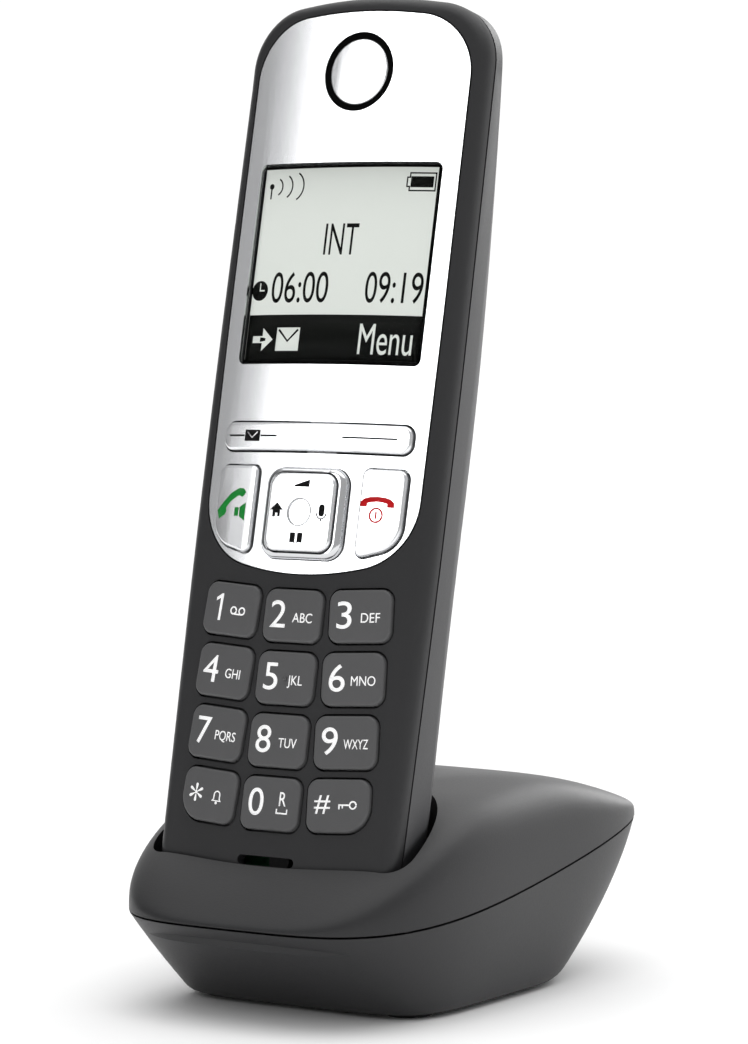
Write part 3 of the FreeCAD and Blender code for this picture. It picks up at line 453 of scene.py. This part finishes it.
def talk_icon():
    """Slanting handset with a small loudspeaker under it."""
    receiver = [(-18.45, 65.1), (-17.26, 66.55), (-15.64, 68.2), (-13.95, 69.05), (-13.0, 68.9),
                (-12.5, 68.3), (-13.2, 67.45), (-13.9, 67.75), (-14.6, 67.45), (-15.7, 66.7),
                (-16.6, 65.6), (-16.45, 65.05), (-16.75, 64.4), (-17.9, 63.7)]
    cone = [(-13.5, 64.15), (-12.3, 63.4), (-12.3, 66.5), (-13.5, 65.75)]
    return [filled(receiver), bar(-14.6, -13.75, 64.2, 65.7), filled(cone)]


def end_icon():
    """Handset lying on its hooks over a power ring."""
    arch = [(10.95, 66.6), (11.0, 67.4), (11.6, 67.95), (12.7, 68.25), (14.1, 68.35), (15.5, 68.25),
            (16.6, 67.95), (17.25, 67.4), (17.3, 66.6), (16.05, 66.6), (16.0, 67.2), (15.2, 67.4),
            (14.1, 67.5), (13.1, 67.4), (12.25, 67.2), (12.2, 66.6)]
    return [filled(arch), band(14.1, 65.2, 1.32, 1.02, 0, 358), bar(13.95, 14.25, 64.6, 65.8)]


def nav_icons():
    """Volume wedge, house, microphone and open book round the pad's centre."""
    low, mid, high = NAV_Z - 5.2, NAV_Z + 0.1, NAV_Z + 4.4
    wedge = [(-1.5, high - 0.1), (1.5, high - 0.1), (1.5, high + 1.15), (-1.5, high + 0.15)]
    roof = [(-5.95, mid + 0.15), (-4.6, mid + 1.4), (-3.25, mid + 0.15)]
    walls = [bar(-5.35, -4.85, mid - 1.0, mid + 0.3), bar(-4.35, -3.85, mid - 1.0, mid + 0.3),
             bar(-4.9, -4.3, mid - 0.4, mid + 0.3)]
    mic_x, mic_half = 4.5, 0.55
    microphone = [bar(mic_x - mic_half, mic_x + mic_half, mid - 0.2, mid + 0.8),
                  band(mic_x, mid + 0.8, mic_half, 0.0, 0, 180),
                  band(mic_x, mid - 0.2, mic_half, 0.0, 180, 360),
                  band(mic_x, mid - 0.2, 1.02, 0.82, 180, 360),
                  bar(mic_x - 0.12, mic_x + 0.12, mid - 1.6, mid - 1.1)]
    book = [bar(-1.25, -0.22, low, low + 1.7), bar(0.22, 1.25, low, low + 1.7),
            bar(-0.32, 0.32, low - 0.12, low)]
    return [filled(wedge), filled(roof)] + walls + microphone + book


def soft_icons():
    """Lines along the rocker, broken on its left by the block of an envelope."""
    lines = [bar(x0, x1, SOFT_Z - SOFT_LINE_HALF, SOFT_Z + SOFT_LINE_HALF)
             for x0, x1 in ((-17.8, -14.5), (-10.9, -7.5), (5.9, 16.4))]
    return lines + [bar(-14.3, -11.1, SOFT_Z - SOFT_ICON_HALF, SOFT_Z + SOFT_ICON_HALF)]


for name in ("talk_key", "end_key", "soft_key_bar", "nav_pad"):
    smooth_copy(name, silver_key)
artwork("icon_talk", talk_icon(), green_ink, "talk_key", CALL_PROUD)
artwork("icon_end", end_icon(), red_ink, "end_key", CALL_PROUD)
artwork("icon_nav", nav_icons(), black_ink, "nav_pad", PAD_PROUD)
nav_ring = band(0.0, NAV_Z, 2.45, 2.25, 0, 360)
artwork("icon_nav_ring", [nav_ring], faint_grey_ring, "nav_pad", PAD_PROUD)
artwork("icon_soft", soft_icons(), black_ink, "soft_key_bar", SOFT_PROUD)
flap = stroke([(-13.8, SOFT_Z + 0.6), (-12.7, SOFT_Z - 0.35), (-11.6, SOFT_Z + 0.6)], 0.22)
artwork("icon_soft_flap", [flap], silver_key, "soft_key_bar", SOFT_PROUD + 0.03)
smooth_copy("nav_rim", chrome)


# ---------------------------------------------------------------- display
# Edges of the window and of the lit field in it, and the top of the dark soft-key bar.
WINDOW_HALF, WINDOW_LOW, WINDOW_HIGH = 18.25, 90.95, 125.55
LIT_LEFT, LIT_RIGHT, LIT_LOW, LIT_HIGH, BAR_TOP = -18.0, 17.2, 91.7, 125.1, 99.5
# The image lies behind the window's back face, in layers a hair apart, and a little left of centre.
FIRST_LAYER_DEPTH, LAYER_STEP, LAYER_THICKNESS = 1.12, 0.015, 0.01
IMAGE_SHIFT = -0.45


def signal_sign():
    """Aerial dot on its mast with three waves to its right, each wave (offset, radius, half angle)."""
    x, half_line = -16.0, 0.14
    waves = [band(x + dx, 122.0, radius + half_line, radius - half_line, -half, half)
             for dx, radius, half in ((0.85, 1.55, 62), (2.4, 2.19, 58), (4.35, 2.67, 60))]
    return [disc(x, 122.1, 0.5), bar(x - 0.15, x + 0.15, 119.9, 121.9)] + waves


def battery_sign():
    """Outlined cell with a nub on its left and a full charge inside."""
    left, right, low, high, line = 12.3, 17.4, 120.9, 124.2, 0.25
    nub = left - 0.5
    case = [bar(left, right, low, low + line), bar(left, right, high - line, high),
            bar(right - line, right, low + 0.2, high - 0.2),
            bar(left, left + line, high - 1.0, high - 0.2),
            bar(left, left + line, low + 0.2, low + 0.9)]
    tip = [bar(nub, nub + line, low + 0.7, high - 0.8), bar(nub, left + 0.2, high - 1.0, high - 0.75),
           bar(nub, left + 0.2, low + 0.7, low + 0.95)]
    return case + tip + [bar(left + 0.3, right - 0.5, low + 0.7, high - 0.7)]


def display_dark():
    """Signal waves, battery, a word, a clock face and two times."""
    time_z, time_height = 104.45, 5.6
    words = [lettering("INT", 0.2, 112.8, 5.8, 6.8), disc(-15.9, 103.75, 1.75),
             lettering("06:00", -7.3, time_z, time_height, 12.0),
             lettering("09:19", 11.7, time_z, time_height, 11.0)]
    return signal_sign() + battery_sign() + words


def display_light():
    """Arrow, envelope and label on the dark soft-key bar, and the hands of the clock."""
    arrow = [(-16.2, 94.6), (-14.1, 94.6), (-14.1, 93.2), (-11.8, 95.2), (-14.1, 97.2), (-14.1, 95.8),
             (-16.2, 95.8)]
    hands = [bar(-16.0, -15.8, 103.75, 105.1), bar(-16.0, -14.9, 103.65, 103.9)]
    label = lettering("Menu", 11.2, 95.55, 5.6, 10.3)
    return [filled(arrow), bar(-11.0, -6.1, 93.2, 97.25), label] + hands


def laid_behind_window(name, shapes, made, order, shift=0.0):
    """Display image layer, the higher orders nearer the eye."""
    shapes = [(flat + np.array([shift, 0.0]), tris) for flat, tris in shapes]
    lift = LAYER_STEP * order - FIRST_LAYER_DEPTH - INK
    return artwork(name, shapes, made, "handset", lift, thick=LAYER_THICKNESS)


window = bar(-WINDOW_HALF, WINDOW_HALF, WINDOW_LOW, WINDOW_HIGH)
soft_bar = bar(LIT_LEFT, LIT_RIGHT, LIT_LOW, BAR_TOP)
envelope_flap = stroke([(-10.6, 96.9), (-8.55, 94.9), (-6.5, 96.9)], 0.4)
border = [bar(-WINDOW_HALF, LIT_LEFT, WINDOW_LOW, WINDOW_HIGH),
          bar(LIT_RIGHT, WINDOW_HALF, WINDOW_LOW, WINDOW_HIGH),
          bar(-WINDOW_HALF, WINDOW_HALF, WINDOW_LOW, LIT_LOW),
          bar(-WINDOW_HALF, WINDOW_HALF, LIT_HIGH, WINDOW_HIGH)]
laid_behind_window("display_field", [window], lcd_field_glowing, 0)
laid_behind_window("display_bar", [soft_bar], lcd_dark, 1)
laid_behind_window("display_dark", display_dark(), lcd_dark, 1, IMAGE_SHIFT)
laid_behind_window("display_light", display_light(), lcd_field_glowing, 2, IMAGE_SHIFT)
laid_behind_window("display_flap", [envelope_flap], lcd_dark, 3, IMAGE_SHIFT)
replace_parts(laid_behind_window("display_border", border, black_gloss, 4), "display_mask")


# ---------------------------------------------------------------- outer mouldings
# The plate and earpiece cap take the darker silver copy, with painted shade that holds back their
# highlight.
for name in ("face_plate", "earpiece_cap"):
    smooth_copy(name, silver_plate_shaded)
for name in ("front_shell", "back_shell", "battery_cover", "base_top", "base_bottom"):
    smooth_copy(name, abs_body)


# ---------------------------------------------------------------- floor, light, camera
FLOOR_REACH = 6.0
CAMERA_WHITE = 1.05
CAMERA_AZIMUTH_DEG, CAMERA_ELEVATION_DEG = 33.017, 3.514
CAMERA_PLACE = (0.37604, -0.58339, 0.1236)
CAMERA_LENS, CAMERA_SENSOR = 137.93, 36.0
CLIP_NEAR, CLIP_FAR = 0.05, 20.0
SILVER_NODES = ("face_plate", "earpiece_cap", "talk_key", "end_key", "soft_key_bar", "nav_pad",
                "nav_rim")
BACK_NODES = ("back_shell", "battery_cover")
BASE_NODES = ("base_top", "base_bottom")


def build_floor():
    """White paper sweep that the phone stands on."""
    mesh = bpy.data.meshes.new("studio_floor")
    reach = FLOOR_REACH
    corners = [(-reach, -reach, 0), (reach, -reach, 0), (reach, reach, 0), (-reach, reach, 0)]
    mesh.from_pydata(corners, [], [(0, 1, 2, 3)])
    floor = bpy.data.objects.new("studio_floor", mesh)
    bpy.context.scene.collection.objects.link(floor)
    # Uncoated white paper: even, matt and without any shine.
    paper = moulded("white_paper", "f6f6f6", "f4f4f4", 0.9, 2.0, 0.0, Specular_IOR_Level=0.0)
    mesh.materials.append(paper)


def ramp(tree, axes, axis, start, end, low, high):
    """Smooth step of brightness along one axis of the world's direction."""
    step = add(tree, "MapRange", [("Value", axes, axis)], interpolation_type="SMOOTHSTEP")
    for socket, value in (("From Min", start), ("From Max", end), ("To Min", low), ("To Max", high)):
        step.inputs[socket].default_value = value
    return step


def build_world():
    """Bright behind the part and dim to its left; the camera itself sees plain white."""
    world = bpy.data.worlds.new("studio")
    bpy.context.scene.world = world
    world.use_nodes = True
    tree = world.node_tree
    tree.nodes.clear()
    path = add(tree, "LightPath")
    axes = add(tree, "SeparateXYZ", [("Vector", add(tree, "TexCoord"), "Generated")])
    rear = ramp(tree, axes, "Y", -0.3, 0.6, 0.0, 1.1)
    left = ramp(tree, axes, "X", -0.82, -0.62, 0.1, 0.5)
    glow = add(tree, "Math", [(0, rear, "Result"), (1, left, "Result")], operation="MAXIMUM")
    shade = add(tree, "Background", [("Strength", glow, "Value")], Color=(1, 1, 1, 1))
    white = add(tree, "Background", Color=(1, 1, 1, 1), Strength=CAMERA_WHITE)
    choice = [(0, path, "Is Camera Ray"), (1, shade, "Background"), (2, white, "Background")]
    both = add(tree, "MixShader", choice)
    add(tree, "OutputWorld", [("Surface", both, "Shader")])


def lamp(name, kind, spot, aim, power, lights=(), **settings):
    """Lamp at spot facing aim. Where lights names nodes, it is flagged off all other pieces."""
    data = bpy.data.lights.new(name, kind)
    data.energy = power
    for key, value in settings.items():
        setattr(data, key, value)
    obj = bpy.data.objects.new(name, data)
    bpy.context.scene.collection.objects.link(obj)
    obj.location = spot
    obj.rotation_euler = (Vector(aim) - Vector(spot)).to_track_quat("-Z", "Y").to_euler()
    if lights:
        group = bpy.data.collections.new(name + "_receivers")
        for other in bpy.data.objects:
            if other.name.split("_skin")[0] in lights:
                group.objects.link(other)
        obj.light_linking.receiver_collection = group


def build_lamps():
    """Soft sun above, and a softbox for each part of the phone that needs its own highlight."""
    lamp("overhead_sun", "SUN", (0.0, 0.15, 1.0), (0, 0, 0), 1.68, angle=math.radians(75))
    lamp("softbox_left", "AREA", (-0.50, -0.98, 0.48), (0, 0, 0.10), 7.0, SILVER_NODES,
         shape="RECTANGLE", size=0.62, size_y=1.1)
    lamp("softbox_rear", "AREA", (0.1, 1.1, 0.5), (0, 0, 0.05), 5.5, BACK_NODES + BASE_NODES, size=0.7)
    lamp("softbox_side", "AREA", (1.0, 0.45, 0.3), (0, 0, 0.08), 10.0, BACK_NODES, size=0.6)
    lamp("softbox_floor", "AREA", (0.35, -0.75, 0.7), (0.2, -0.35, 0), 2.0, ("studio_floor",),
         size=0.7)


def build_camera():
    """Long lens a little right of the front and just above the horizon."""
    azimuth, elevation = math.radians(CAMERA_AZIMUTH_DEG), math.radians(CAMERA_ELEVATION_DEG)
    level = math.cos(elevation)
    back = Vector((math.sin(azimuth) * level, -math.cos(azimuth) * level, math.sin(elevation)))
    right = Vector((math.cos(azimuth), math.sin(azimuth), 0))
    facing = Matrix((right, back.cross(right), back)).transposed().to_4x4()
    data = bpy.data.cameras.new("camera")
    data.sensor_width = CAMERA_SENSOR
    data.lens = CAMERA_LENS
    data.clip_start, data.clip_end = CLIP_NEAR, CLIP_FAR
    camera = bpy.data.objects.new("camera", data)
    bpy.context.scene.collection.objects.link(camera)
    camera.matrix_world = Matrix.Translation(CAMERA_PLACE) @ facing
    bpy.context.scene.camera = camera


build_floor()
build_world()
build_lamps()
build_camera()
bpy.context.scene.view_settings.view_transform = "Standard"
